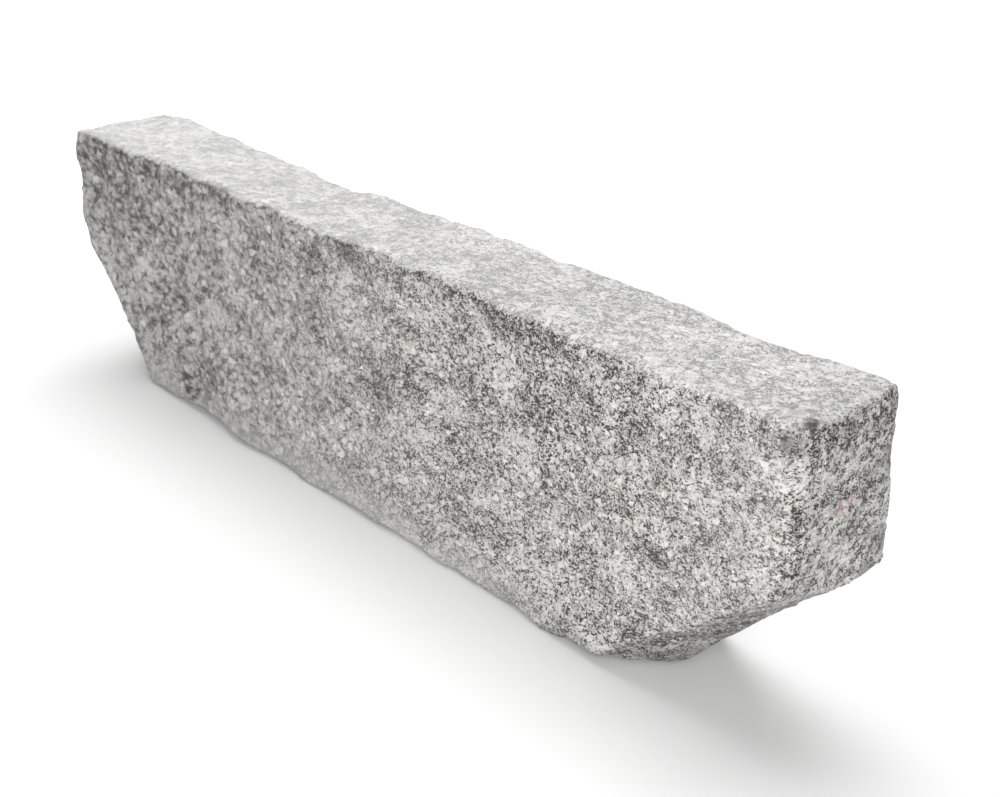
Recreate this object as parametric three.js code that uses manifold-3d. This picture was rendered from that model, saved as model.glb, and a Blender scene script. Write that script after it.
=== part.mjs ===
// Split granite kerb stone, one hewn piece.
//
// The stone is split out along the grain, so its six faces are planes only on average. Both ends are
// squared at the top, where they meet the next kerb, and broken back below, where the bedding hides
// them. X runs along the stone, -Y is the face to the road, +Z is up, and the stone stands on z = 0.
// All lengths are millimetres.

import * as THREE from 'three';
import { ImprovedNoise } from 'three/addons/math/ImprovedNoise.js';
import { mergeVertices } from 'three/addons/utils/BufferGeometryUtils.js';
import Module from 'manifold-3d';

// --- Driving dimensions ------------------------------------------------------------------------

// The block as it was ordered, between the mean planes of its faces.
const LENGTH = 1000;
const WIDTH = 110;
const HEIGHT = 266;

// The ends: how deep each is squared below the top, and how far its break runs in along the bed.
const NEAR_END_DEPTH = 136;
const NEAR_BREAK_RUN_FRONT = 173;
const NEAR_BREAK_RUN_BACK = 138;
const FAR_END_DEPTH = 133;
const FAR_BREAK_RUN = 109;
const FAR_BREAK_HOLLOW = 10;
const NEAR_BREAK_HOLLOW = 4;

// Relief of the split faces: the height of each kind of wave, its span from crest to crest, and how
// far it is shifted in the noise, so that no two kinds are alike.
const SWELL = { height: 6, span: 170, shift: 0.37 };
const HUMP = { height: 5, span: 60, shift: 2.91 };
const RIDGE = { height: 2, span: 38, shift: 5.3 };

// Each face takes the relief from a place of its own in the noise, at a strength of its own.
const ROAD_FACE = { seed: 0.13, strength: 1 };
const REAR_FACE = { seed: 7.7, strength: 1.2 };
const TOP_FACE = { seed: 3.1, strength: 0.5 };
const BED_FACE = { seed: 5.9, strength: 0.64 };
const FAR_FACE = { seed: 11.3, strength: 0.6 };
const NEAR_FACE = { seed: 9.4, strength: 0.6 };

// How far from an arris the line drawn along it still shapes the faces that meet there.
const REAR_LINE_REACH = 60;
const FAR_LINE_REACH = 110;
const UPRIGHT_LINE_REACH = 60;
const NEAR_REAR_REACH = [170, 60];
const BED_LINE_REACH = 33;

// The share of its straying that the rear arris also rises by.
const TOP_BACK_RISE = 0.2;

// The bed: how far it stands clear of the plane it bears on, and the size of a bearing spot.
const BED_CLEARANCE = 3.2;
const BEARING_RADIUS = 46;
const BEARING_FROM_END = 62;
const BEARING_FROM_SIDE = 30;

// Arrises: what handling has rubbed off them, and the size of the chips along them.
const ARRIS_WEAR = 1.3;
const WEAR_SPAN = 60;
const NEAR_CORNER_RADIUS = 16;
const CHIP_LENGTH = 26;
const CHIP_DEPTH = 2.6;
const SMALLEST_CHIP = 0.45;
const CHIP_SPACING = 80;
const CHIP_ROUND = 3; // radius of a chip's hollow, in chip depths
const CHIP_ACROSS = 1.25; // its radius across the arris, in the radius above
const CHIP_SEED = 41;

// Facets: their size on the faces, the narrow strip of them beside each arris, and the share of
// their size by which their corners stray. Half the rows up the stone lie below the break.
const FACET = 15;
const ARRIS_STRIP = 6;
const FACET_STRAY = 0.5;
const FACET_SEED = 17;
const BREAK_ROW = 0.5;
const BREAK_SLOPE = -0.6;

const { lerp, clamp, smoothstep } = THREE.MathUtils;

// --- Lines and relief --------------------------------------------------------------------------

// A hewn line strays from true. Each station is a place along it and how far it strays there.
function hewnLine(stations) {
  const last = stations.length - 1;
  return (at) => {
    const next = stations.findIndex(([place]) => place > at);
    if (next === 0) return stations[0][1];
    if (next < 0) return stations[last][1];
    const [[start, from], [end, to]] = stations.slice(next - 1, next + 1);
    return lerp(from, to, smoothstep(at, start, end));
  };
}

// Height of the line where the top meets the road face.
const topFrontLine = hewnLine([
  [-500, -1], [-460, 4], [-370, 0], [-315, 3], [-220, 1], [-175, 3], [-80, 5], [-30, 3], [49, 4],
  [215, 3], [262, 6], [305, 0], [415, -1], [450, -3], [480, 0], [500, -1],
]);

// How far the top reaches back over the rear face.
const topBackLine = hewnLine([
  [-500, -1], [-489, 4], [-452, 10], [-319, 0], [-270, 1], [-220, -1], [-180, -4], [-124, -5],
  [-56, -1], [0, -3], [75, 1], [120, 4], [152, 1], [190, 6], [225, 4], [265, 1], [300, 3],
  [330, -1], [372, -4], [414, 1], [454, 4], [483, 5], [500, 2],
]);

// Height of the line where the road face meets the bed.
const bedFrontLine = hewnLine([
  [-358, 2], [-333, 6], [-279, 8], [-205, 7], [-165, 1], [-88, 2], [-40, 1], [10, 3], [74, 0],
  [200, 0], [230, 3], [265, 6], [299, 7],
]);

// How far the upright arris of the far end strays in, up its height, and how far the end's top does
// so across the stone.
const farUprightLine = hewnLine([
  [110, 5], [144, -2], [171, -5], [195, 0], [214, 0], [240, -4], [262, 0],
]);
const farEndAcrossLine = hewnLine([
  [-55, -6], [-42, 2], [-30, -1], [-6, -12], [13, -13], [30, -11], [48, -6], [60, 3],
]);

// How far the rear face swells out beside the near end, up its height.
const nearRearLine = hewnLine([
  [70, -9], [118, 0], [150, 4], [180, 1], [215, -2], [240, -5], [262, -3],
]);

// How far the break of the near end runs in along the bed, across the stone.
const nearRunLine = hewnLine([
  [-55, NEAR_BREAK_RUN_FRONT], [-33, 146], [-8, 124], [12, 131], [55, NEAR_BREAK_RUN_BACK],
]);

// Height of the lower edge of the near end's squared face.
const nearBreakLine = hewnLine([[-55, 9], [-34, 6], [-12, 0], [10, -7], [40, -6], [55, 1]]);

// Flakes that came off the road face: centre along and up it, half length, half height and depth.
const FLAKES = [
  [-462, 212, 46, 42, 7], [-397, 234, 34, 20, 5], [-307, 116, 30, 18, 6], [-290, 24, 38, 18, 6],
  [-12, 240, 56, 20, 5], [182, 236, 34, 26, 5], [306, 240, 58, 20, 5], [54, 132, 18, 30, 4],
  [414, 244, 32, 20, 6],
];

const noise = new ImprovedNoise();

// The upright corner of the near end is rounded: both its faces are drawn in towards it, most at
// the corner and not at all past its radius or below the break.
function roundedIn(distance, z) {
  const share = 1 - clamp(distance / NEAR_CORNER_RADIUS, 0, 1);
  const breakHeight = HEIGHT - NEAR_END_DEPTH;
  const squared = smoothstep(z, breakHeight, breakHeight + NEAR_CORNER_RADIUS);
  return (1 - Math.SQRT1_2) * NEAR_CORNER_RADIUS * squared * share ** 2;
}

// Waves of a split face at one point of it: long swells, humps on them and sharp ridges.
function splitRelief({ seed, strength }, x, y, z) {
  const wave = ({ span, shift }) => (
    noise.noise(x / span + seed + shift, y / span - shift, z / span + seed * shift));
  const ridge = 0.5 - 2 * Math.abs(wave(RIDGE));
  return strength * (SWELL.height * wave(SWELL) + HUMP.height * wave(HUMP) + RIDGE.height * ridge);
}

function flakeDepth(x, z) {
  return FLAKES.reduce((sum, [centreX, centreZ, halfLength, halfHeight, depth]) => {
    const reach = Math.min(1, Math.hypot((x - centreX) / halfLength, (z - centreZ) / halfHeight));
    return sum + depth * (1 - reach ** 2) ** 2;
  }, 0);
}

// --- The six faces -----------------------------------------------------------------------------

function roadFace(x, z) {
  const besideFarEnd = 1 - smoothstep(x, -LENGTH / 2, UPRIGHT_LINE_REACH - LENGTH / 2);
  return splitRelief(ROAD_FACE, x, 0, z) + flakeDepth(x, z) + roundedIn(LENGTH / 2 - x, z)
    + besideFarEnd * farUprightLine(z) / 2;
}

function rearFace(x, z) {
  const nearTop = smoothstep(z, HEIGHT - REAR_LINE_REACH, HEIGHT);
  const [outset, full] = NEAR_REAR_REACH.map((reach) => LENGTH / 2 - reach);
  const besideNearEnd = smoothstep(x, outset, full);
  return splitRelief(REAR_FACE, x, 0, z) + nearTop * topBackLine(x)
    + besideNearEnd * nearRearLine(z);
}

function topFace(x, y) {
  const across = clamp(y / WIDTH + 0.5, 0, 1);
  const line = lerp(topFrontLine(x), TOP_BACK_RISE * topBackLine(x), smoothstep(across, 0, 1));
  return line + splitRelief(TOP_FACE, x, y, 0);
}

// The bed stands clear of z = 0 but for its bearing spots, which are rubbed down to one plane.
const BEARING_SPOTS = [
  [-LENGTH / 2 + FAR_BREAK_RUN + BEARING_FROM_END, -WIDTH / 2 + BEARING_FROM_SIDE],
  [-LENGTH / 2 + FAR_BREAK_RUN + BEARING_FROM_END, WIDTH / 2 - BEARING_FROM_SIDE],
  [0, 0],
  [LENGTH / 2 - NEAR_BREAK_RUN_FRONT - BEARING_FROM_END, -WIDTH / 2 + BEARING_FROM_SIDE],
  [LENGTH / 2 - NEAR_BREAK_RUN_BACK - BEARING_FROM_END, WIDTH / 2 - BEARING_FROM_SIDE],
];

function bedFace(x, y) {
  const hollow = Math.max(0, BED_CLEARANCE + splitRelief(BED_FACE, x, y, 0));
  const fromFront = smoothstep(y, -WIDTH / 2, BED_LINE_REACH - WIDTH / 2);
  const height = lerp(bedFrontLine(x), hollow, fromFront);
  const nearest = Math.min(...BEARING_SPOTS.map(([spotX, spotY]) => Math.hypot(x - spotX, y - spotY)));
  return height * smoothstep(nearest, BEARING_RADIUS / 2, BEARING_RADIUS);
}

function farEnd(y, z) {
  const breakHeight = HEIGHT - FAR_END_DEPTH;
  const nearTop = smoothstep(z, HEIGHT - FAR_LINE_REACH, HEIGHT);
  const squared = smoothstep(z, breakHeight / 2, breakHeight);
  const hollow = FAR_BREAK_HOLLOW * Math.sin(Math.PI * clamp(z / breakHeight, 0, 1));
  return splitRelief(FAR_FACE, 0, y, z) + hollow
    + squared * farUprightLine(z) * (1 - smoothstep(y, -WIDTH / 2, WIDTH / 2))
    + nearTop * farEndAcrossLine(y);
}

function nearEnd(y, z) {
  const breakHeight = HEIGHT - NEAR_END_DEPTH;
  const hollow = NEAR_BREAK_HOLLOW * Math.sin(Math.PI * clamp(z / breakHeight, 0, 1));
  return splitRelief(NEAR_FACE, 0, y, z) - hollow * smoothstep(y, -WIDTH / 2, 0)
    - roundedIn(y + WIDTH / 2, z);
}

// Where a point of the plain block lies on the hewn stone. u, v and w run from 0 to 1 along the
// stone, from the road face to the rear and from the bed to the top.
function hewn(u, v, w) {
  const y = lerp(-WIDTH / 2, WIDTH / 2, v);
  const broken = Math.max(0, 1 - w / BREAK_ROW);
  const squared = Math.max(0, (w - BREAK_ROW) / (1 - BREAK_ROW));
  const breakHeight = HEIGHT - lerp(FAR_END_DEPTH, NEAR_END_DEPTH, u) + u * nearBreakLine(y);
  const z = lerp(breakHeight * (1 - broken), HEIGHT, squared);
  const farX = -LENGTH / 2 + FAR_BREAK_RUN * broken;
  const nearX = LENGTH / 2 - nearRunLine(y) * broken;
  const x = lerp(farX, nearX, u);
  return new THREE.Vector3(
    x + lerp(farEnd(y, z), nearEnd(y, z), u),
    y + lerp(roadFace(x, z), rearFace(x, z), v),
    z + lerp(bedFace(x, y), topFace(x, y), z / HEIGHT),
  );
}

// --- The hewn block ----------------------------------------------------------------------------

// Rows of facets along one side: a narrow strip beside each arris, and even ones between.
function rowsOf(size) {
  const count = Math.max(4, Math.round((size - 2 * ARRIS_STRIP) / FACET) + 2);
  const strip = ARRIS_STRIP / size;
  return Array.from({ length: count + 1 }, (_, row) => {
    if (row === 0 || row === count) return row / count;
    return lerp(strip, 1 - strip, (row - 1) / (count - 2));
  });
}

// Rows up the stone meet in one row at the edge where the ends break back.
function coursesUp() {
  const lower = rowsOf(HEIGHT - FAR_END_DEPTH).map((share) => share * BREAK_ROW);
  const upper = rowsOf(FAR_END_DEPTH).map((share) => lerp(BREAK_ROW, 1, share));
  return [...lower, ...upper.slice(1)];
}

// An arris is rubbed down unevenly: its points move in along each axis on which they are outermost.
function wearArris(point, ...shares) {
  const sides = shares.map((share) => (share === 0 ? 1 : share === 1 ? -1 : 0));
  const outermost = sides.filter((side) => side !== 0).length;
  if (outermost < 2) return point;
  const { x, y, z } = point.clone().divideScalar(WEAR_SPAN);
  const wear = ARRIS_WEAR * (1 + noise.noise(x, y + 0.5, z));
  return point.add(new THREE.Vector3(...sides).multiplyScalar(wear));
}

// Facets differ in size: a point strays from its row, unless the row is beside or on an edge.
function strayed(rows, index) {
  const share = FACET_STRAY * (THREE.MathUtils.seededRandom() - 0.5);
  const kept = index < 2 || index > rows.length - 3 || rows[index] === BREAK_ROW;
  return kept ? rows[index] : rows[index] + share * (rows[index + 1] - rows[index]);
}

function hewnBlock() {
  THREE.MathUtils.seededRandom(FACET_SEED);
  const columns = rowsOf(LENGTH);
  const rows = rowsOf(WIDTH);
  const courses = coursesUp();
  const counts = [columns.length - 1, rows.length - 1, courses.length - 1];
  const grid = new THREE.BoxGeometry(1, 1, 1, ...counts);
  grid.deleteAttribute('normal');
  grid.deleteAttribute('uv');
  const block = mergeVertices(grid);
  const place = block.attributes.position;
  for (let i = 0; i < place.count; i += 1) {
    const u = strayed(columns, Math.round((place.getX(i) + 0.5) * counts[0]));
    const v = strayed(rows, Math.round((place.getY(i) + 0.5) * counts[1]));
    const w = strayed(courses, Math.round((place.getZ(i) + 0.5) * counts[2]));
    const point = wearArris(hewn(u, v, w), u, v, w);
    place.setXYZ(i, point.x, point.y, point.z);
  }
  return block;
}

// --- Chips along the arrises -------------------------------------------------------------------

const wasm = await Module();
wasm.setup();

function toSolid(geometry) {
  return new wasm.Manifold(new wasm.Mesh({
    numProp: 3,
    vertProperties: new Float32Array(geometry.attributes.position.array),
    triVerts: new Uint32Array(geometry.index.array),
  }));
}

function toGeometry(solid) {
  const { vertProperties, triVerts } = solid.getMesh();
  const geometry = new THREE.BufferGeometry();
  geometry.setAttribute('position', new THREE.BufferAttribute(vertProperties, 3));
  geometry.setIndex(new THREE.BufferAttribute(triVerts, 1));
  return geometry.toNonIndexed();
}

// A chip leaves a shell-shaped hollow: an ellipsoid whose centre lies outside the arris.
function chip({ at, outward, along, length, depth, turn }) {
  const radius = CHIP_ROUND * depth;
  const chordShare = Math.sqrt(1 - (1 - 1 / CHIP_ROUND) ** 2);
  const shell = new THREE.IcosahedronGeometry(1, 2);
  shell.deleteAttribute('normal');
  shell.deleteAttribute('uv');
  const hollow = mergeVertices(shell);
  hollow.rotateX(turn).rotateY(2 * turn);
  hollow.scale(length / 2 / chordShare, radius, CHIP_ACROSS * radius);
  const side = new THREE.Vector3().crossVectors(along, outward);
  const frame = new THREE.Matrix4().makeBasis(along, outward, side);
  frame.setPosition(at.clone().addScaledVector(outward, radius - depth));
  return toSolid(hollow.applyMatrix4(frame));
}

// The arrises, each from one end to the other in shares of the block, and the way it faces.
const ARRISES = {
  topRoad: { from: [0, 0, 1], to: [1, 0, 1], faces: [0, -1, 1] },
  topRear: { from: [0, 1, 1], to: [1, 1, 1], faces: [0, 1, 1] },
  bedRoad: { from: [0, 0, 0], to: [1, 0, 0], faces: [0, -1, -1] },
  bedRear: { from: [0, 1, 0], to: [1, 1, 0], faces: [0, 1, -1] },
  nearTop: { from: [1, 0, 1], to: [1, 1, 1], faces: [1, 0, 1] },
  nearRoad: { from: [1, 0, BREAK_ROW], to: [1, 0, 1], faces: [1, -1, 0] },
  nearRear: { from: [1, 1, BREAK_ROW], to: [1, 1, 1], faces: [1, 1, 0] },
  nearBreak: { from: [1, 0, BREAK_ROW], to: [1, 1, BREAK_ROW], faces: [1, 0, BREAK_SLOPE] },
  farTop: { from: [0, 0, 1], to: [0, 1, 1], faces: [-1, 0, 1] },
  farRoad: { from: [0, 0, BREAK_ROW], to: [0, 0, 1], faces: [-1, -1, 0] },
  farRear: { from: [0, 1, BREAK_ROW], to: [0, 1, 1], faces: [-1, 1, 0] },
  farBreak: { from: [0, 0, BREAK_ROW], to: [0, 1, BREAK_ROW], faces: [-1, 0, BREAK_SLOPE] },
};

function chipOn(name, share, length, depth, turn) {
  const { from, to, faces } = ARRISES[name];
  const along = new THREE.Vector3(...to).sub(new THREE.Vector3(...from)).normalize();
  const at = hewn(...from.map((start, axis) => lerp(start, to[axis], share)));
  return chip({ at, outward: new THREE.Vector3(...faces).normalize(), along, length, depth, turn });
}

// The chips that stand out: where on its arris each one is, its length and its depth.
const LARGE_CHIPS = [
  ['nearTop', 12 / WIDTH, 9, 4], ['topRear', 374 / LENGTH, 70, 5],
];

function smallChips() {
  return Object.entries(ARRISES).flatMap(([name, { from, to }]) => {
    const side = new THREE.Vector3(LENGTH, WIDTH, HEIGHT);
    const size = new THREE.Vector3(...to).sub(new THREE.Vector3(...from)).multiply(side).length();
    const count = Math.max(1, Math.round(size / CHIP_SPACING));
    return Array.from({ length: count }, (_, index) => {
      const share = (index + THREE.MathUtils.seededRandom()) / count;
      const large = SMALLEST_CHIP + THREE.MathUtils.seededRandom();
      const turn = Math.PI * THREE.MathUtils.seededRandom();
      return chipOn(name, share, CHIP_LENGTH * large, CHIP_DEPTH * large, turn);
    });
  });
}

const largeChips = LARGE_CHIPS.map(([name, share, length, depth], index) => (
  chipOn(name, share, length, depth, index)));
THREE.MathUtils.seededRandom(CHIP_SEED);
const hewnStone = [...largeChips, ...smallChips()]
  .reduce((stone, hollow) => stone.subtract(hollow), toSolid(hewnBlock()));

// --- The finished stone, centred over its own footprint ----------------------------------------

const geometry = toGeometry(hewnStone);
geometry.computeBoundingBox();
const centre = geometry.boundingBox.getCenter(new THREE.Vector3());
geometry.translate(-centre.x, -centre.y, -geometry.boundingBox.min.z);
geometry.computeVertexNormals();

const granite = new THREE.MeshStandardMaterial({ color: 0xb3b1ad, roughness: 0.85, metalness: 0 });
const kerbStone = new THREE.Mesh(geometry, granite);
kerbStone.name = 'kerb_stone';

const group = new THREE.Group();
group.add(kerbStone);

export default group;
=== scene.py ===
# %% [markdown]
# # A split granite kerb stone
# The stone is one hewn piece: six faces that were split and never polished, ends that are squared
# above and broken back below, and arrises that chipped as they were dressed. Its form and size
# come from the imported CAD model. This script gives it the fine relief of a split face, the
# minerals of the granite, and a plain bright studio.

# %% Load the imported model
import math

import bpy
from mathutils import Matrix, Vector


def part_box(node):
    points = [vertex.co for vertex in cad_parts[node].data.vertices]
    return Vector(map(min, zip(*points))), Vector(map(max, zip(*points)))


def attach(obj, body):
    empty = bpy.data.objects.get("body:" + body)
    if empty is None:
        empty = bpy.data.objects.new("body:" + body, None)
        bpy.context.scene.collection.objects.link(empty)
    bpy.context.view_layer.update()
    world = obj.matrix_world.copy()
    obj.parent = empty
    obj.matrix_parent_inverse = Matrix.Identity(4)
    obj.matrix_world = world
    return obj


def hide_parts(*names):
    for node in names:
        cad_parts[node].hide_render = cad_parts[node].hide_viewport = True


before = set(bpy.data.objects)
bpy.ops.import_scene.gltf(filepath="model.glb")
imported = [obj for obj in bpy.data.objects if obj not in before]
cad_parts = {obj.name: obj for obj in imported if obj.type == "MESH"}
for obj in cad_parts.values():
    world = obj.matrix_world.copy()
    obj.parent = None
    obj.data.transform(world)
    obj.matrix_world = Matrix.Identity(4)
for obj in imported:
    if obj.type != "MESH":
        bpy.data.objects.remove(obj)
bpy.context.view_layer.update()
low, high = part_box("kerb_stone")
print("stone, mm:", [round(1000 * side) for side in high - low])

MM = 0.001  # sizes below are written in millimetres and used in metres
WELD_GAP = 0.01 * MM  # corners that lie closer than this are one and the same

# %% [markdown]
# ## Formulas as nodes
# Both the stone's relief and its minerals are formulas on a point's place. Written as nodes one by
# one they are hard to read, so a small class wraps a socket and turns arithmetic into Math nodes.
# Every other node comes from one method, which takes the node's type, settings and inputs.


# %% A socket that can be calculated with
class Field:
    """One output in a node tree. Arithmetic on it adds the Math nodes that work it out."""

    def __init__(self, graph, socket):
        self.graph = graph
        self.socket = socket

    def math(self, operation, *others):
        return self.graph.node("ShaderNodeMath", {"operation": operation}, (self, *others))

    def reflected(self, operation, other):
        return self.graph.node("ShaderNodeMath", {"operation": operation}, (other, self))

    def __add__(self, other):
        return self.math("ADD", other)

    def __radd__(self, other):
        return self.reflected("ADD", other)

    def __sub__(self, other):
        return self.math("SUBTRACT", other)

    def __rsub__(self, other):
        return self.reflected("SUBTRACT", other)

    def __mul__(self, other):
        return self.math("MULTIPLY", other)

    def __rmul__(self, other):
        return self.reflected("MULTIPLY", other)

    def __rtruediv__(self, other):
        return self.reflected("DIVIDE", other)

    def rise(self, start, end):
        """0 below start, 1 above end and a smooth climb between. With start above end it falls."""
        settings = {"interpolation_type": "SMOOTHSTEP"}
        inputs = {"Value": self, "From Min": start, "From Max": end}
        return self.graph.node("ShaderNodeMapRange", settings, inputs)

    def part(self, axis):
        """One of a vector's three numbers, by its letter."""
        return self.graph.node("ShaderNodeSeparateXYZ", inputs=(self,), output=axis)


# %% A tree that makes every node in one way
SEED_STEP = (0.37, 0.61, 0.23)  # metres by which one step of a seed moves a pattern
FINE_DETAIL = 3.0  # how many times finer waves are laid on a noise that needs them


class Graph:
    """Adds nodes to one tree, for a material or for Geometry Nodes."""

    def __init__(self, tree):
        self.tree = tree

    def node(self, kind, settings=None, inputs=None, output=None):
        """Adds a node and gives one of its outputs, the first where none is named.

        The settings come first, as they decide which inputs the node has. The inputs are values or
        other Fields, by name or in order."""
        made = self.tree.nodes.new(kind)
        for name, value in (settings or {}).items():
            setattr(made, name, value)
        if isinstance(inputs, dict):
            pairs = [(self.named(made.inputs, name), value) for name, value in inputs.items()]
        else:
            pairs = zip([socket for socket in made.inputs if socket.enabled], inputs or ())
        for socket, value in pairs:
            self.feed(socket, value)
        if not made.outputs:
            return made
        return Field(self, self.named(made.outputs, output))

    def named(self, sockets, name):
        """The socket of that name among those that the node's settings leave enabled."""
        enabled = [socket for socket in sockets if socket.enabled]
        return enabled[0] if name is None else next(s for s in enabled if s.name == name)

    def feed(self, socket, value):
        """Links a Field to an input, or writes a plain value in it."""
        if isinstance(value, Field):
            self.tree.links.new(value.socket, socket)
        else:
            socket.default_value = value

    def vector(self, operation, *inputs, output=None):
        """One step of vector arithmetic."""
        return self.node("ShaderNodeVectorMath", {"operation": operation}, inputs, output)

    def noise(self, place, size_mm, detail=2.0, seed=0.0, output="Fac"):
        """Smooth random waves of about the size given, from -1 to 1."""
        place = self.shifted(place, seed) if seed else place
        inputs = {"Vector": place, "Scale": 1 / (size_mm * MM), "Detail": detail}
        return self.node("ShaderNodeTexNoise", {"normalize": False}, inputs, output)

    def cells(self, place, size_mm, output, feature="F1"):
        """Random cells of about the size given: a crystal or a flake each."""
        inputs = {"Vector": place, "Scale": 1 / (size_mm * MM)}
        return self.node("ShaderNodeTexVoronoi", {"feature": feature}, inputs, output)

    def shifted(self, place, seed):
        """The same place seen in another part of the pattern, so that two noises differ."""
        return self.vector("ADD", place, tuple(seed * step for step in SEED_STEP))


# %% [markdown]
# ## The camera
# The stone is seen from above its near corner, so that the road face, the top and the squared end
# all show. A long lens keeps the far end from shrinking too much.

# %% Camera
AZIMUTH = math.radians(49.412)  # turned from the road face towards the near end
ELEVATION = math.radians(24.646)
SENSOR_MM = 36
LENS_MM = 52.96
CAMERA_PLACE = Vector((1013.0, -737.8, 670.3)) * MM

back = Vector((
    math.sin(AZIMUTH) * math.cos(ELEVATION),
    -math.cos(AZIMUTH) * math.cos(ELEVATION),
    math.sin(ELEVATION),
))
camera_data = bpy.data.cameras.new("camera")
camera_data.sensor_width = SENSOR_MM
camera_data.lens = LENS_MM
camera = bpy.data.objects.new("camera", camera_data)
camera.location = CAMERA_PLACE
camera.rotation_euler = (-back).to_track_quat("-Z", "Y").to_euler()
bpy.context.collection.objects.link(camera)
bpy.context.scene.camera = camera
print("camera stands", round(back.dot(CAMERA_PLACE), 2), "m in front of the origin")

# %% [markdown]
# ## The split face
# A CAD solid has flat facets a finger wide. A split face breaks from crystal to crystal, so it
# needs an even, fine mesh first. Subdividing the facets would leave long thin triangles where they
# are long and thin. Remeshing the whole stone on a grid of small cubes gives an even mesh instead,
# and takes off only what is smaller than a cube.

# %% An even mesh of the stone
MESH_SIZE = 3.2 * MM


def even_copy(node, size):
    """A copy of a CAD node with its loose triangles joined and remeshed to one even size."""
    piece = bpy.data.objects.new("granite_kerb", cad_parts[node].data.copy())
    bpy.context.collection.objects.link(piece)
    merge = piece.modifiers.new("merge", "WELD")
    merge.merge_threshold = WELD_GAP
    remesh = piece.modifiers.new("remesh", "REMESH")
    remesh.mode = "VOXEL"
    remesh.voxel_size = size
    remesh.use_smooth_shade = True
    return piece


def bake_modifiers(piece):
    """Turns what the modifiers show into the piece's own mesh."""
    graph = bpy.context.evaluated_depsgraph_get()
    mesh = bpy.data.meshes.new_from_object(piece.evaluated_get(graph))
    piece.modifiers.clear()
    piece.data = mesh
    return len(mesh.polygons)


stone = even_copy("kerb_stone", MESH_SIZE)
print("faces after the remesh:", bake_modifiers(stone))

# %% [markdown]
# ### Relief from Geometry Nodes
# Flakes tore off the faces and left small facets, each tilted its own way. Over them the break
# wanders in ripples and in finer pits. Along the arrises the stone crumbled, so points near a sharp
# edge of the plain solid are taken in by ragged bites. All of this could be sculpted by hand, but
# it follows a rule, so a tree of Geometry Nodes makes it the same way each time. Each effect is a
# height along the surface normal, and so is a small swell all round that gives back what the remesh
# took off. Set Position moves each point by their sum.


# %% Named inputs of the relief
RELIEF_INPUTS = {  # sizes and heights are in millimetres, and a tilt is a height over a length
    "Plain Solid": ("NodeSocketObject", None),
    "Material": ("NodeSocketMaterial", None),
    "Flake Size": ("NodeSocketFloat", 13.0),
    "Flake Tilt": ("NodeSocketFloat", 0.08),
    "Ripple Size": ("NodeSocketFloat", 24.0),
    "Ripple Height": ("NodeSocketFloat", 0.7),
    "Pit Size": ("NodeSocketFloat", 7.0),
    "Pit Height": ("NodeSocketFloat", 0.3),
    "Arris Reach": ("NodeSocketFloat", 11.0),
    "Arris Bite": ("NodeSocketFloat", 0.6),
    "Swell": ("NodeSocketFloat", 0.5),
    "Seed": ("NodeSocketFloat", 4.0),
}


def relief_tree():
    """An empty tree with the named inputs and one output."""
    tree = bpy.data.node_groups.new("split_relief", "GeometryNodeTree")
    tree.interface.new_socket("Geometry", in_out="INPUT", socket_type="NodeSocketGeometry")
    for name, (kind, default) in RELIEF_INPUTS.items():
        socket = tree.interface.new_socket(name, in_out="INPUT", socket_type=kind)
        if default is not None:
            socket.default_value = default
    tree.interface.new_socket("Geometry", in_out="OUTPUT", socket_type="NodeSocketGeometry")
    return tree


# %% Height of the relief
SHARP_ANGLE = math.radians(38)  # an edge of the plain solid that turns by more is an arris
BITE_SIZE = 9.0  # millimetres from one bite in an arris to the next
BITE_RANGE = (-0.1, 0.45)  # the noise at which a bite begins and is deepest
CRUMBLE_ROUGHNESS = 0.55  # how strong the finer waves on the ripples and pits are


def flake_height(graph, place, size, tilt):
    """Facets of about one size: within each cell the surface is a plane with a tilt of its own."""
    texture = {"Vector": place, "Scale": 1 / (size * MM)}
    middle = graph.node("ShaderNodeTexVoronoi", {}, texture, "Position")
    chance = graph.node("ShaderNodeTexVoronoi", {}, texture, "Color")
    lean = graph.vector("MULTIPLY_ADD", chance, (2, 2, 2), (-1, -1, -1))
    from_middle = graph.vector("SUBTRACT", place, middle)
    return graph.vector("DOT_PRODUCT", from_middle, lean, output="Value") * tilt


def crumbly_waves(graph, place, size):
    """Waves of about one size with finer ones on them, from -1 to 1."""
    inputs = {"Vector": place, "Scale": 1 / (size * MM),
              "Detail": FINE_DETAIL, "Roughness": CRUMBLE_ROUGHNESS}
    return graph.node("ShaderNodeTexNoise", {"normalize": False}, inputs)


def distance_to_arris(graph, solid):
    """How far each point lies from the nearest sharp edge of the plain solid."""
    source = graph.node("GeometryNodeObjectInfo", {}, {"Object": solid}, "Geometry")
    whole = graph.node("GeometryNodeMergeByDistance", {},
                       {"Geometry": source, "Distance": WELD_GAP})
    angle = graph.node("GeometryNodeInputMeshEdgeAngle", output="Unsigned Angle")
    blunt = graph.node("FunctionNodeCompare", {"operation": "LESS_THAN"},
                       {"A": angle, "B": SHARP_ANGLE})
    arrises = graph.node("GeometryNodeDeleteGeometry", {"domain": "EDGE"},
                         {"Geometry": whole, "Selection": blunt})
    return graph.node("GeometryNodeProximity", {"target_element": "EDGES"},
                      {"Geometry": arrises}, "Distance")


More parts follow.
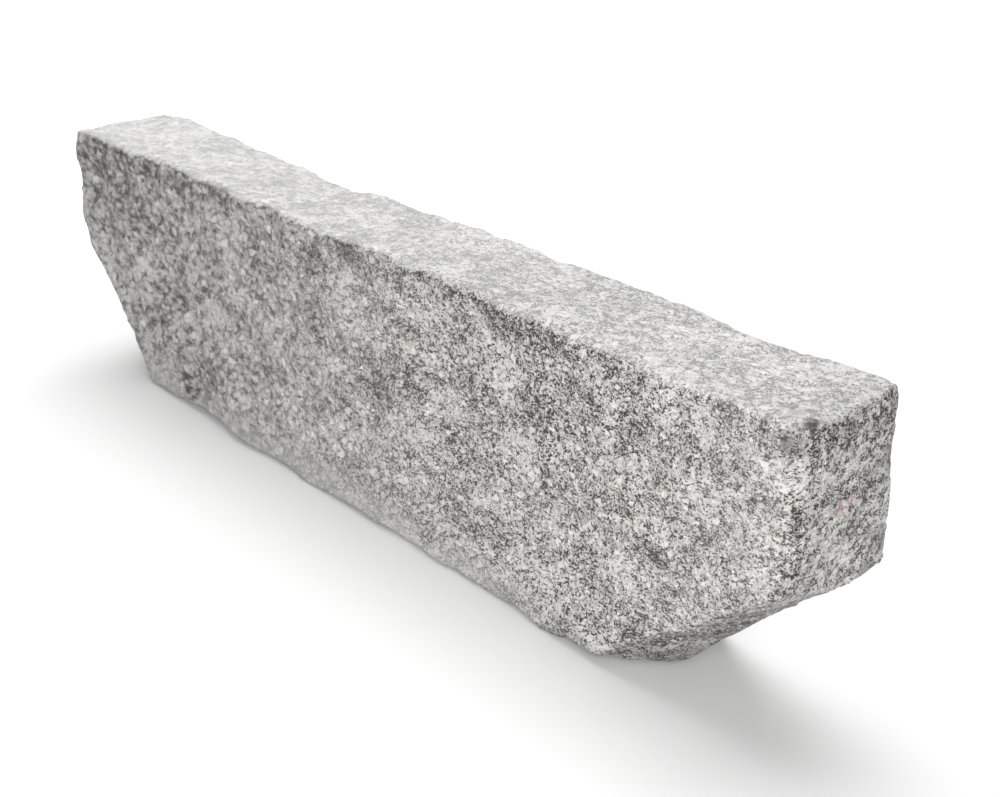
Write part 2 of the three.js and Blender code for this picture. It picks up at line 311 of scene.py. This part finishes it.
def relief_height(graph, given, here):
    """The height of all effects together at each point, in metres."""
    seed = graph.node("ShaderNodeCombineXYZ", {}, (given["Seed"],))
    place = graph.vector("ADD", graph.shifted(here, 1.0), seed)
    flake = flake_height(graph, place, given["Flake Size"], given["Flake Tilt"])
    waves = (crumbly_waves(graph, place, given["Ripple Size"]) * given["Ripple Height"]
             + crumbly_waves(graph, place, given["Pit Size"]) * given["Pit Height"])
    near = distance_to_arris(graph, given["Plain Solid"]).rise(given["Arris Reach"] * MM, 0.0)
    bite = graph.noise(place, BITE_SIZE, 1.0).rise(*BITE_RANGE) * near * given["Arris Bite"]
    return flake + (waves + given["Swell"] - bite) * MM


# %% The relief tree
def build_relief():
    """Moves each point along its normal, keeps the stone above the floor and sets its material."""
    tree = relief_tree()
    graph = Graph(tree)
    group = tree.nodes.new("NodeGroupInput")
    given = {name: Field(graph, group.outputs[name]) for name in ("Geometry", *RELIEF_INPUTS)}
    here = graph.node("GeometryNodeInputPosition")
    normal = graph.node("GeometryNodeInputNormal")
    offset = graph.node("ShaderNodeVectorMath", {"operation": "SCALE"},
                        {"Vector": normal, "Scale": relief_height(graph, given, here)})
    moved = graph.node("GeometryNodeSetPosition", {},
                       {"Geometry": given["Geometry"], "Offset": offset})
    x, y, z = (here.part(axis) for axis in "XYZ")
    above_floor = graph.node("ShaderNodeCombineXYZ", {}, (x, y, z.math("MAXIMUM", 0.0)))
    stood = graph.node("GeometryNodeSetPosition", {},
                       {"Geometry": moved, "Position": above_floor})
    real = graph.node("GeometryNodeRealizeInstances", {}, {"Geometry": stood})
    dressed = graph.node("GeometryNodeSetMaterial", {},
                         {"Geometry": real, "Material": given["Material"]})
    result = tree.nodes.new("NodeGroupOutput")
    tree.links.new(dressed.socket, result.inputs[0])
    return tree


relief = build_relief()
print("relief:", len(relief.nodes), "nodes,", len(RELIEF_INPUTS), "named inputs")

# %% [markdown]
# ## The granite
# Granite is an even mix of three minerals: white to cream feldspar in grains a few millimetres
# across, with a larger crystal here and there, grey glassy quartz between them, and black mica in
# thin wavering flecks that gather in clusters. An image wrapped round the stone would show seams at
# its edges. So the rock is a pattern in space, which runs through the stone as the real one does,
# and is built up from the place in the stone to the minerals found there.

# %% Minerals, what lies on them, and painted light and shade
FELDSPAR = (0.808, 0.791, 0.767, 1)
CREAM = (0.83, 0.80, 0.74, 1)
QUARTZ = (0.27, 0.265, 0.255, 1)
MICA = (0.022, 0.022, 0.021, 1)
GREY_MICA = (0.095, 0.094, 0.088, 1)
# A pale grey: stone dust on the top, where it is also painted glare, and painted bounce light at
# the foot
DUST_AND_PAINTED_LIGHT = (0.638, 0.638, 0.636, 1)
# A dark colour painted on the broken underside as painted shade
UNDERSIDE_SHADE_COLOUR = (0.06, 0.058, 0.048, 1)


def blend(graph, share, first, second):
    """Mixes two colours by a share from 0 to 1."""
    return graph.node("ShaderNodeMix", {"data_type": "RGBA"},
                      {"Factor": share, "A": first, "B": second})


def even_vector(number):
    """The same number along all three axes."""
    return (number, number, number)


# %% [markdown]
# ### The faces of the stone
# A split face looks unlike its neighbour: the top is paler, partly from dust and partly painted
# glare, the broken underside is darker, which is painted shade, and the rock reads finer on one end
# than on the other. One material could be made for each face, but they would meet in hard lines.
# Masks that fade from 0 to 1 with the direction of the face and with the place on the stone let one
# material cover them all.

# %% Masks for the faces
# Each pair is where a mask begins and where it is full. A part of the normal is 1 where the face
# looks straight along that axis: X to the near end, Y to the rear and Z up. Places are in metres.
REAR_FACE = (0.45, 0.5)  # Y of the normal
FAR_END = (-0.6, -0.65)  # X of the normal
NEAR_END = (0.4, 0.9)  # X of the normal
TOP = (0.35, 0.8)  # Z of the normal
UNDERSIDE = (-0.2, -0.6)  # Z of the normal
LOWER_HALF = (0.13, 0.09)  # height
UNDER_ARRIS = (0.23, 0.26)  # height, below the top arris of the upright faces
FOOT = (0.05, 0.0)  # height
NEAR_END_X = 0.5  # where the distance towards the far end is counted from


def stone_parts(graph, place):
    """Masks for the parts of the stone, and how far each point lies from the near end."""
    normal = graph.node("ShaderNodeNewGeometry", output="Normal")
    upwards = normal.part("Z")
    height = place.part("Z")
    top = upwards.rise(*TOP)
    rear = normal.part("Y").rise(*REAR_FACE)
    return {
        "top": top,
        "underside": upwards.rise(*UNDERSIDE) * height.rise(*LOWER_HALF),
        "under_arris": height.rise(*UNDER_ARRIS) * (1 - top),
        "foot": height.rise(*FOOT),
        "near_end": normal.part("X").rise(*NEAR_END),
        "hidden": rear.math("MAXIMUM", normal.part("X").rise(*FAR_END)),
        "from_near_end": NEAR_END_X - place.part("X"),
    }


# %% [markdown]
# ### The grain
# Grains of granite are rarely round. Here they are wider than high and lie aslant. Along the road
# face and the top they also grow towards the far end, and the rear face and the far end have one
# even grain. Each mineral's pattern could have a size and a direction of its own. Stretching the
# place before any pattern reads it changes all minerals together, so they still fit each other.

# %% Stretch the place
COARSENING = 0.45  # at the far end the pattern's scale is smaller by this share, so grains grow
COARSENING_ALONG = 0.6  # the same for the length of the grains
FLATTENING = 1.13  # how much wider than high a grain is
SLANT = 0.15  # how steeply the flat grains rise towards the near end
HIDDEN_SCALE = 0.8  # the even scale of the rear face and the far end
WANDER_SIZE = 1.8  # millimetres
WANDER = 0.6 * MM  # how far the outlines of the grains stray
print("grains at the far end:", round(1 / (1 - COARSENING), 1), "times as high as at the near end")


def coarsened(graph, place):
    """The same place in a rock whose grains grow from the near end, x = 0.5, to the far end."""
    x, y, z = (place.part(axis) for axis in "XYZ")
    scale = x * COARSENING + (1 - COARSENING / 2)
    along = x * (x * (COARSENING_ALONG / 2) + (1 - COARSENING_ALONG / 2))
    height = (z * scale - x * SLANT) * FLATTENING
    return graph.node("ShaderNodeCombineXYZ", {}, (along, y * scale, height))


def place_in_rock(graph, place, hidden):
    """Where the patterns are read, and the same with grains whose outlines wander."""
    even = graph.vector("MULTIPLY", place, even_vector(HIDDEN_SCALE))
    rock = graph.node("ShaderNodeMix", {"data_type": "VECTOR"},
                      {"Factor": hidden, "A": coarsened(graph, place), "B": even})
    wander = graph.noise(rock, WANDER_SIZE, output="Color")
    return rock, graph.vector("MULTIPLY_ADD", wander, even_vector(WANDER), rock)


# %% [markdown]
# ### Rich and poor places
# Mica isn't spread evenly. Broad noise gives the drift from rich to poor that any block has. The
# dark and pale patches of this road face are partly places rich and poor in mica and partly painted
# shade in its hollows and painted light, and noise would put them anywhere, so they are listed one
# by one, round and fading to their rims. More mica also darkens the rock just below the top arris,
# and on the broken underside and towards the far end it is painted shade.

# %% Patches on the road face
MICA_AND_SHADE_PATCHES = [  # place along the stone, height and radius in millimetres, then how much mica more, partly standing for painted shade in a hollow, and below 0 less, partly painted light
    (-467, 202, 22, 0.6), (-430, 222, 34, 0.6), (-397, 233, 26, 0.7), (-300, 122, 34, 0.9),
    (-295, 168, 26, 0.6), (-292, 26, 28, 1.3), (-262, 237, 24, 0.6), (-130, 238, 26, 0.8),
    (-98, 262, 22, 0.6), (-69, 142, 22, 0.35), (-40, 237, 30, 1.0), (-37, 138, 22, 0.5),
    (12, 260, 24, 1.3), (24, 216, 18, 0.5), (35, 210, 24, 0.5), (53, 142, 36, 0.5),
    (90, 251, 20, 0.6), (120, 20, 26, 0.8), (120, 136, 22, 0.5), (168, 198, 28, 0.7),
    (225, 252, 26, 0.9), (255, 192, 28, 0.9), (285, 256, 24, 1.1), (300, 197, 18, 0.4),
    (310, 160, 80, 0.65), (330, 39, 20, 0.4), (345, 256, 24, 1.1), (360, 200, 22, 0.7),
    (370, 230, 22, 0.5), (388, 129, 26, 0.8), (390, 128, 42, 0.8), (411, 166, 18, 0.5),
    (440, 216, 26, 0.9), (453, 256, 13, 1.0), (460, 129, 16, 0.5), (492, 202, 28, 0.9),
    (-497, 185, 20, -0.7), (-452, 130, 30, -1.0), (-385, 66, 28, -0.8), (-345, 30, 20, -0.5),
    (-338, 222, 22, -0.4), (-225, 262, 24, -0.5), (-137, 81, 22, -0.4), (-121, 209, 20, -0.35),
    (-58, 87, 18, -0.4), (-28, 182, 18, -0.4), (98, 115, 18, -0.4), (152, 246, 16, -1.0),
    (186, 80, 28, -1.0), (222, 194, 20, -0.7), (256, 131, 22, -0.8), (312, 224, 18, -0.8),
    (326, 109, 22, -0.8), (335, 163, 24, -0.5), (372, 70, 16, -0.4), (385, 258, 18, -0.6),
    (424, 246, 20, -1.2), (440, 180, 15, -0.5), (463, 248, 14, -0.5),
]
PATCH_THINNING = 0.4  # depths are read at this share, so a patch reaches deeper than it is wide
PATCH_DEPTH = -50 * PATCH_THINNING  # the middle of each patch, close behind the road face
print("patches:", len(MICA_AND_SHADE_PATCHES), "and", sum(patch[3] > 0 for patch in MICA_AND_SHADE_PATCHES), "of them rich")


def mica_and_shade_patches(graph, place):
    """How much more mica than usual each part of the road face holds, partly standing for painted
    shade in its hollows. Below 0 it is less, partly painted light.
    """
    level = graph.vector("MULTIPLY", place, (1, PATCH_THINNING, 1))
    total = 0
    for along, up, radius, strength in MICA_AND_SHADE_PATCHES:
        middle = (along * MM, PATCH_DEPTH * MM, up * MM)
        away = graph.vector("DISTANCE", level, middle, output="Value")
        total = total + away.rise(radius * MM, 0.0) * strength
    return total


# %% Richness in mica, with painted shade
CLUSTER_SIZE = 36.0  # millimetres
PATCH_MICA_AND_SHADE = 0.8  # how much each of these adds
# More mica towards the far end is painted shade of the light falling off along the stone
FAR_SHADE_MICA = 0.3
# More mica on the broken underside, which looks down, is painted shade
UNDERSIDE_SHADE_MICA = 0.6
# More mica just below the top arris makes the rock darker there
UNDER_ARRIS_DARKENING = 0.5


def mica_and_shade_richness(graph, rock, parts, patch):
    """How rich in mica the rock is around each point, with painted shade laid on as more mica on
    the underside, towards the far end and in part of the patches. 0 is usual.
    """
    cluster = graph.noise(rock, CLUSTER_SIZE, FINE_DETAIL, seed=3.0)
    return (cluster + patch * PATCH_MICA_AND_SHADE + parts["from_near_end"] * FAR_SHADE_MICA
            + parts["underside"] * UNDERSIDE_SHADE_MICA + parts["under_arris"] * UNDER_ARRIS_DARKENING)


# %% [markdown]
# ### Soft rock
# Where the rock is soft its flecks and grains run together without clear outlines. It grows softer
# towards the far end, less so on the hidden faces and the top, and is a little soft again close to
# the near end. Each pattern could be blurred by itself. One softness from 0 to 1 for all of them
# keeps them in step.

# %% How soft the rock looks
SOFT_FAR = (0.2, 0.85)  # metres from the near end at which it begins and is full
SOFT_NEAR = (0.17, 0.0)
SOFT_NEAR_MOST = 0.22
HIDDEN_FIRMER = 0.5  # what the hidden faces and the top lose of it
TOP_FIRMER = 0.5


def rock_softness(parts):
    """0 where grains are crisp and 1 where they run together."""
    far = parts["from_near_end"].rise(*SOFT_FAR) * (1 - parts["hidden"] * HIDDEN_FIRMER)
    near = (parts["from_near_end"].rise(*SOFT_NEAR) * (1 - parts["near_end"])
            * (1 - parts["underside"]) * SOFT_NEAR_MOST)
    return (far + near) * (1 - parts["top"] * TOP_FIRMER)


# %% [markdown]
# ### Mica
# Mica grew in what room the feldspar left, as flecks and thin seams between the large crystals. A
# dark noise would make round spots. Small cells that are dark by chance look more like flecks, and
# the distance to a grain's edge draws the seams. The chance falls inside a large crystal, and rises
# where the rock is rich, where painted shade is laid on as more mica, and where flecks gather.

# %% Flecks, seams and smoke of mica
CRYSTAL_SIZE = 6.2  # millimetres, as are all sizes here
GRAIN_SIZE = 2.5
FLECK_SIZE = 1.22
GATHER_SIZE = 8.0
BREAK_SIZE = 3.0
SMOKE_SIZE = 5.0
CLEAR_OF_EDGE = (0.05, 0.3)  # from the edge of a large cell to well inside it, in cell widths
USUAL_CHANCE = 0.32  # that a small cell is a dark fleck
LESS_INSIDE = 0.22  # what the inside of a large cell takes from the chance
LESS_IN_CRYSTAL = 0.25  # and what it takes more where that cell is a crystal
MORE_WHERE_RICH_AND_SHADED = 0.17
NOISE_ENDS = (-0.3, 0.3)  # between these a noise runs from 0 to 1
FLECK_EDGE = 0.01  # how far a fleck fades at its edge
SEAM_CHANCE = 0.12  # the chance above which a seam opens
SEAM_WIDTH = 0.2
SEAM_BREAKS = 0.14
SEAM_EDGE = 0.03
SEAM_DARKNESS = 0.9
SMOKE_WAVES = 0.55
SMOKE_RANGE = (-0.05, 0.9)
SMOKE_DARKNESS = 0.88
GATHERING = 0.2  # how strongly flecks gather in groups
NEAR_END_GATHERING = 0.16  # and how much more strongly there
SOFT_GATHERING = 0.05
TOP_GATHERING = 0.1


def mica_chance(graph, bent, crystal, richness_and_shade, softness, parts):
    """The chance at each point that a fleck lies there."""
    gathering = (GATHERING + parts["near_end"] * NEAR_END_GATHERING
                 + softness * SOFT_GATHERING + parts["top"] * TOP_GATHERING)
    edge = graph.cells(bent, CRYSTAL_SIZE, "Distance", "DISTANCE_TO_EDGE")
    inside = edge.rise(*CLEAR_OF_EDGE)
    gather = graph.noise(bent, GATHER_SIZE, FINE_DETAIL, seed=5.0).rise(*NOISE_ENDS) - 0.5
    return (USUAL_CHANCE - inside * (LESS_INSIDE + crystal * LESS_IN_CRYSTAL)
            + richness_and_shade * MORE_WHERE_RICH_AND_SHADED + gather * gathering)


def mica_flecks(graph, bent, chance, softness):
    """Where mica lies, and a number for each fleck. Where the rock is soft it turns to smoke."""
    fleck = graph.cells(bent, FLECK_SIZE, "Color")
    dark = (chance - fleck.part("X")).rise(0.0, FLECK_EDGE)
    broken = graph.noise(bent, BREAK_SIZE, seed=9.0)
    seam = graph.cells(bent, GRAIN_SIZE, "Distance", "DISTANCE_TO_EDGE")
    width = (chance - SEAM_CHANCE) * SEAM_WIDTH + broken * SEAM_BREAKS
    dark = dark.math("MAXIMUM", (width - seam).rise(0.0, SEAM_EDGE) * SEAM_DARKNESS)
    smoke = graph.noise(bent, SMOKE_SIZE, seed=11.0)
    cloudy = (chance + smoke * SMOKE_WAVES).rise(*SMOKE_RANGE) * SMOKE_DARKNESS
    return dark + (cloudy - dark) * softness, fleck.part("Y")


# %% [markdown]
# ### Feldspar and quartz
# The pale rock is feldspar with grey quartz between. One smooth noise would look like cloth. Each
# grain is a cell with a tone of its own instead, from quartz to feldspar, with fine clouds in it.
# In soft rock the cells would look like tiles, so there rounded pebbles and a mottle take their
# place. Rock that is rich in mica is greyer too, and so is rock where shade is painted as more
# mica.

# %% Tones of the pale grains
PEBBLE_SIZE = 3.1  # millimetres
PEBBLE_ENDS = (0.75, 0.2)  # from the rim of a pebble to its middle, in cell widths
PEBBLE_TONE = 0.4
MOTTLE_TONE = 0.5
SOFT_BLEND = 0.8  # how far soft rock takes on pebbles and mottle
CLOUD_SIZE = 1.6
CLOUD_LOSS = 0.7  # what soft rock loses of its clouds


def grain_tones(graph, rock, bent, grain, softness):
    """The tone of each grain, from 0 to 1, and the fine clouds in it."""
    pebble = graph.cells(bent, PEBBLE_SIZE, "Distance").rise(*PEBBLE_ENDS)
    mottle = graph.noise(rock, PEBBLE_SIZE, FINE_DETAIL, seed=13.0).rise(*NOISE_ENDS)
    tone = grain.part("X")
    soft_tone = pebble * PEBBLE_TONE + mottle * MOTTLE_TONE
    tone = tone + (soft_tone - tone) * softness * SOFT_BLEND
    cloud = graph.noise(rock, CLOUD_SIZE, FINE_DETAIL, seed=7.0) * (1 - softness * CLOUD_LOSS)
    return tone, cloud


# %% Colour of the clean rock
# Each cell has a random number from 0 to 1, and a look begins and is full at these numbers.
CRYSTAL_FROM = (0.82, 0.9)  # a large cell is a crystal
CREAM_FROM = (0.75, 0.95)  # a grain is cream
GREY_FROM = (0.6, 1.0)  # a fleck of mica is grey
USUAL_FELDSPAR = 0.45  # the share of feldspar over quartz, and what changes it
TONE_GAIN = 0.41
CRYSTAL_GAIN = 0.1
CLOUD_GAIN = 0.38
CHANCE_LOSS = 0.35
RICHNESS_AND_SHADE_LOSS = 0.12
SOFTNESS_LOSS = 0.03
TONE_RELIEF = 0.35  # how far the grains and the clouds in them stand out
CLOUD_RELIEF = 0.3


def clean_rock(graph, place, parts, patch):
    """The colour of the three minerals, where mica lies, and how high the grains stand."""
    rock, bent = place_in_rock(graph, place, parts["hidden"])
    richness_and_shade = mica_and_shade_richness(graph, rock, parts, patch)
    softness = rock_softness(parts)
    crystal = graph.cells(bent, CRYSTAL_SIZE, "Color").part("X").rise(*CRYSTAL_FROM)
    chance = mica_chance(graph, bent, crystal, richness_and_shade, softness, parts)
    mica, fleck_number = mica_flecks(graph, bent, chance, softness)
    grain = graph.cells(bent, GRAIN_SIZE, "Color")
    tone, cloud = grain_tones(graph, rock, bent, grain, softness)

    feldspar = (USUAL_FELDSPAR + tone * TONE_GAIN + crystal * CRYSTAL_GAIN + cloud * CLOUD_GAIN
                - chance * CHANCE_LOSS - richness_and_shade * RICHNESS_AND_SHADE_LOSS - softness * SOFTNESS_LOSS)
    pale = blend(graph, grain.part("Y").rise(*CREAM_FROM), FELDSPAR, CREAM)
    colour = blend(graph, feldspar, QUARTZ, pale)
    dark = blend(graph, fleck_number.rise(*GREY_FROM), MICA, GREY_MICA)
    height = tone * TONE_RELIEF + cloud * CLOUD_RELIEF
    return blend(graph, mica, colour, dark), mica, height


# %% [markdown]
# ### Dust, painted light and shade, and marks
# Stone dust settles on the top, which is also painted paler as painted glare, most of all towards
# the far end as painted sheen. The foot is painted paler as painted bounce light from the floor,
# though not close to the near end. The broken underside is painted darker, which is painted shade,
# and has one pale place. The near end has a dark spot at a small pit on its upper corner, partly
# painted shade in the pit and partly dark mica, painted shade along its rear edge and a faint pink
# mark. They could be meshes of their own, but a mark has no thickness, so they are blended over the
# rock's colour. Noise in the distance to a mark's middle makes its rim ragged.

# %% Dust, painted light and shade, and marks on the rock
# The top is painted paler, partly stone dust and partly painted glare, and paler still towards the
# far end as painted sheen
TOP_DUST_AND_GLARE = 0.32
FAR_TOP_PAINTED_SHEEN = 0.29  # how much more of the pale grey, as painted sheen, lies on the top a metre from the near end
# The foot is painted paler, as painted bounce light from the floor
FOOT_PAINTED_LIGHT = 0.5
FOOT_PAINTED_LIGHT_FROM = (0.15, 0.35)  # metres from the near end at which it begins and is full
FOOT_LIGHT_SPARES = (0.8, 0.2)  # a patch this rich is left without the painted foot light, and one this poor gets all of it
# The broken underside is painted darker with this share of a dark colour: painted shade
UNDERSIDE_SHADE_SHARE = 0.12
RAGGED_SIZE = 4.0  # millimetres
RAGGED_SHARE = 0.5  # how far the rim of a mark strays, as a share of its radius
MARK_CORE = 0.2  # the part of the radius within which a mark is full
MARKS = [  # place and radius in millimetres, the colour of the mark and how strongly it covers
    # A dark spot at a small pit on the near end's upper corner, partly painted shade in the pit and
    # partly dark mica
    ((501, -38, 264), 8, (0.05, 0.052, 0.046, 1), 0.9),
    ((499, -50, 254), 13, (0.09, 0.09, 0.083, 1), 0.55),
    ((488, -36, 266), 9, (0.40, 0.40, 0.40, 1), 0.7),
    # Painted shade along the rear edge of the near end
    ((503, 50, 215), 16, (0.12, 0.12, 0.113, 1), 0.3),
    ((505, 46, 150), 18, (0.12, 0.12, 0.113, 1), 0.35),
    ((503, 36, 127), 15, (0.12, 0.12, 0.113, 1), 0.5),
    ((403, -15, 34), 22, (0.5, 0.5, 0.48, 1), 0.35),
    ((505, 6, 196), 7, (0.66, 0.27, 0.27, 1), 0.4),
    ((505, -5, 193), 10, (0.62, 0.42, 0.40, 1), 0.35),
]
print("stains:", len(MARKS))


def mark_share(graph, place, middle, radius, strength):
    """Where a mark covers the stone, with a ragged rim."""
    middle = tuple(side * MM for side in middle)
    ragged = graph.noise(place, RAGGED_SIZE, FINE_DETAIL) * radius * RAGGED_SHARE * MM
    away = graph.vector("DISTANCE", place, middle, output="Value") + ragged
    return away.rise(radius * MM, radius * MARK_CORE * MM) * strength


def covered_rock(graph, place, colour, parts, patch):
    """The colour of the rock under its dust, painted light and shade, and marks."""
    from_near_end = parts["from_near_end"]
    # The top is paler, partly dust and partly painted glare and sheen
    top_dust_and_glare = parts["top"] * (TOP_DUST_AND_GLARE + from_near_end * FAR_TOP_PAINTED_SHEEN)
    # The foot is painted paler: painted bounce light from the floor
    foot_painted_light = (parts["foot"] * from_near_end.rise(*FOOT_PAINTED_LIGHT_FROM)
                 * patch.rise(*FOOT_LIGHT_SPARES) * FOOT_PAINTED_LIGHT)
    colour = blend(graph, top_dust_and_glare.math("MAXIMUM", foot_painted_light), colour, DUST_AND_PAINTED_LIGHT)
    # Painted shade on the broken underside
    colour = blend(graph, parts["underside"] * UNDERSIDE_SHADE_SHARE, colour, UNDERSIDE_SHADE_COLOUR)
    for middle, radius, mark_colour, strength in MARKS:
        colour = blend(graph, mark_share(graph, place, middle, radius, strength), colour, mark_colour)
    return colour


# %% The granite's material
BUMP_STRENGTH = 0.5
BUMP_HEIGHT = 1.1 * MM
ROCK_ROUGHNESS = 0.9
MICA_GLOSS = 0.35  # how much smoother mica is than the rock


def build_granite():
    """One material for the whole stone, from the place of each point on it."""
    material = bpy.data.materials.new("split_granite")
    material.use_nodes = True
    tree = material.node_tree
    tree.nodes.clear()
    graph = Graph(tree)
    place = graph.node("ShaderNodeTexCoord", output="Object")
    parts = stone_parts(graph, place)
    patch = mica_and_shade_patches(graph, place)
    rock_colour, mica, height = clean_rock(graph, place, parts, patch)
    colour = covered_rock(graph, place, rock_colour, parts, patch)
    bump = graph.node("ShaderNodeBump", {}, {
        "Strength": BUMP_STRENGTH, "Distance": BUMP_HEIGHT, "Height": height})
    shader = graph.node("ShaderNodeBsdfPrincipled", {}, {
        "Base Color": colour, "Roughness": ROCK_ROUGHNESS - mica * MICA_GLOSS, "Normal": bump})
    graph.node("ShaderNodeOutputMaterial", {}, {"Surface": shader})
    return material


granite = build_granite()
print("granite:", len(granite.node_tree.nodes), "nodes")


# %% [markdown]
# ## The dressed stone
# The relief could stay a live modifier, which is handy while its sizes are tried out. Here they are
# settled, so the tree runs once, with the granite as its material, and its result becomes the
# stone's own mesh. The dressed stone takes the place of the plain solid.


# %% Apply the relief
def apply_relief(piece, solid, material):
    """Runs the relief tree on a piece. Its inputs are set by identifier, not by name."""
    modifier = piece.modifiers.new("relief", "NODES")
    modifier.node_group = relief
    identifiers = {item.name: item.identifier for item in relief.interface.items_tree
                   if item.item_type == "SOCKET" and item.in_out == "INPUT"}
    modifier[identifiers["Plain Solid"]] = solid
    modifier[identifiers["Material"]] = material
    for name, (kind, value) in RELIEF_INPUTS.items():
        if kind == "NodeSocketFloat":
            modifier[identifiers[name]] = value
    return bake_modifiers(piece)


print("faces after the relief:", apply_relief(stone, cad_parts["kerb_stone"], granite))
stone.data.shade_smooth()
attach(stone, "root")
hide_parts("kerb_stone")

# %% [markdown]
# ## The studio
# The stone stands on a white floor under wide soft boxes. The large one hangs overhead, so the top
# is the brightest face, and the floor throws light back up on the road face and the end. A white
# cloth behind the stone would need lamps of its own to look white. A glow in the floor that only
# the camera sees does the same, and leaves the light on the stone alone.

# %% Floor
FLOOR_SIZE = 12.0
FLOOR_WHITE = (0.86, 0.86, 0.86, 1)
FLOOR_ROUGHNESS = 0.9
BLACK = (0, 0, 0, 1)
WHITE = (1, 1, 1, 1)
GLOW_EVERYWHERE = 0.1
NEAR_GLOW = 0.6  # how much the floor glows past the stone
NEAR_GLOW_FROM = (0.6, 1.8)  # metres from the origin at which it begins and is full
FAR_GLOW = 0.3  # and how much more towards the horizon
FAR_GLOW_FROM = (2.0, 4.0)


def floor_material():
    """A dull white. Seen by the camera, its far part glows, so that it ends in pure white."""
    material = bpy.data.materials.new("white_floor")
    material.use_nodes = True
    tree = material.node_tree
    tree.nodes.clear()
    graph = Graph(tree)
    place = graph.node("ShaderNodeTexCoord", output="Object")
    distance = graph.vector("LENGTH", place, output="Value")
    seen = graph.node("ShaderNodeLightPath", output="Is Camera Ray")
    glow = seen * (GLOW_EVERYWHERE + distance.rise(*NEAR_GLOW_FROM) * NEAR_GLOW
                   + distance.rise(*FAR_GLOW_FROM) * FAR_GLOW)
    shader = graph.node("ShaderNodeBsdfPrincipled", {}, {
        "Base Color": FLOOR_WHITE, "Roughness": FLOOR_ROUGHNESS, "Specular IOR Level": 0.0,
        "Emission Color": blend(graph, glow, BLACK, WHITE), "Emission Strength": 1.0,
    })
    graph.node("ShaderNodeOutputMaterial", {}, {"Surface": shader})
    return material


def build_floor(material):
    """One flat square."""
    mesh = bpy.data.meshes.new("floor")
    half = FLOOR_SIZE / 2
    corners = [(-half, -half, 0), (half, -half, 0), (half, half, 0), (-half, half, 0)]
    mesh.from_pydata(corners, [], [(0, 1, 2, 3)])
    mesh.materials.append(material)
    floor = bpy.data.objects.new("floor", mesh)
    bpy.context.collection.objects.link(floor)
    return floor


build_floor(floor_material())
print("floor:", FLOOR_SIZE, "m square")

# %% Lamps
LAMPS = [  # name, place, the point it aims at, width and height in metres, and power in watts
    ("overhead_box", (-0.6, 0.5, 2.3), (0, 0, 0.1), 2.4, 2.4, 67.8),
    ("near_box", (1.4, -0.8, 0.9), (0.4, 0, 0.14), 0.7, 0.7, 9.0),
    ("low_box", (0.5, -1.0, 0.13), (0.42, 0, 0.1), 1.1, 0.22, 3.4),
]


def soft_box(name, place, aim, width, height, power):
    """A lit rectangle that the camera doesn't see."""
    data = bpy.data.lights.new(name, "AREA")
    data.shape = "RECTANGLE"
    data.size = width
    data.size_y = height
    data.energy = power
    lamp = bpy.data.objects.new(name, data)
    lamp.location = place
    lamp.visible_camera = False
    lamp.rotation_euler = (Vector(aim) - Vector(place)).to_track_quat("-Z", "Y").to_euler()
    bpy.context.collection.objects.link(lamp)


for lamp in LAMPS:
    soft_box(*lamp)
print("lamps:", ", ".join(lamp[0] for lamp in LAMPS))

# %% World
WORLD_LIGHT = 0.25


def build_world():
    """A white world that lights the stone dimly and that the camera sees as pure white."""
    world = bpy.data.worlds.new("studio")
    bpy.context.scene.world = world
    world.use_nodes = True
    graph = Graph(world.node_tree)
    world.node_tree.nodes.clear()
    seen = graph.node("ShaderNodeLightPath", output="Is Camera Ray")
    background = graph.node("ShaderNodeBackground", {}, {
        "Color": WHITE, "Strength": WORLD_LIGHT + seen * (1 - WORLD_LIGHT)})
    graph.node("ShaderNodeOutputWorld", {}, {"Surface": background})


build_world()
bpy.context.scene.view_settings.view_transform = "Standard"
print("world light:", WORLD_LIGHT)
